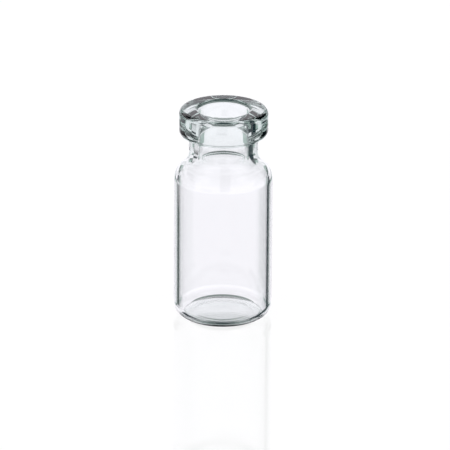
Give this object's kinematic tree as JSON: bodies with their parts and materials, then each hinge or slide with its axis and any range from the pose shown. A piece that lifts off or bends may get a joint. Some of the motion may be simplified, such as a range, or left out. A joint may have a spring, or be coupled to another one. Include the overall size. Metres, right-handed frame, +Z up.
{
  "type": "glass sample vial",
  "caption": "Clear glass sample vial, open and empty: straight round body on a hollowed foot, domed shoulder, short neck and a thick round lip that takes a stopper and a crimped cap.",
  "frame": {"origin": "middle of the foot, on the plane that the vial stands on", "axes": "+Z up the vial's own axis, out through the mouth; the vial is round, so +X and +Y are free"},
  "size_m": [0.0144, 0.0144, 0.032],
  "materials": {
    "glass": "clear borosilicate tubing glass, drawn walls, fire-polished lip and foot"
  },
  "bodies": {
    "root": {"vial": "glass"}
  },
  "joints": []
}
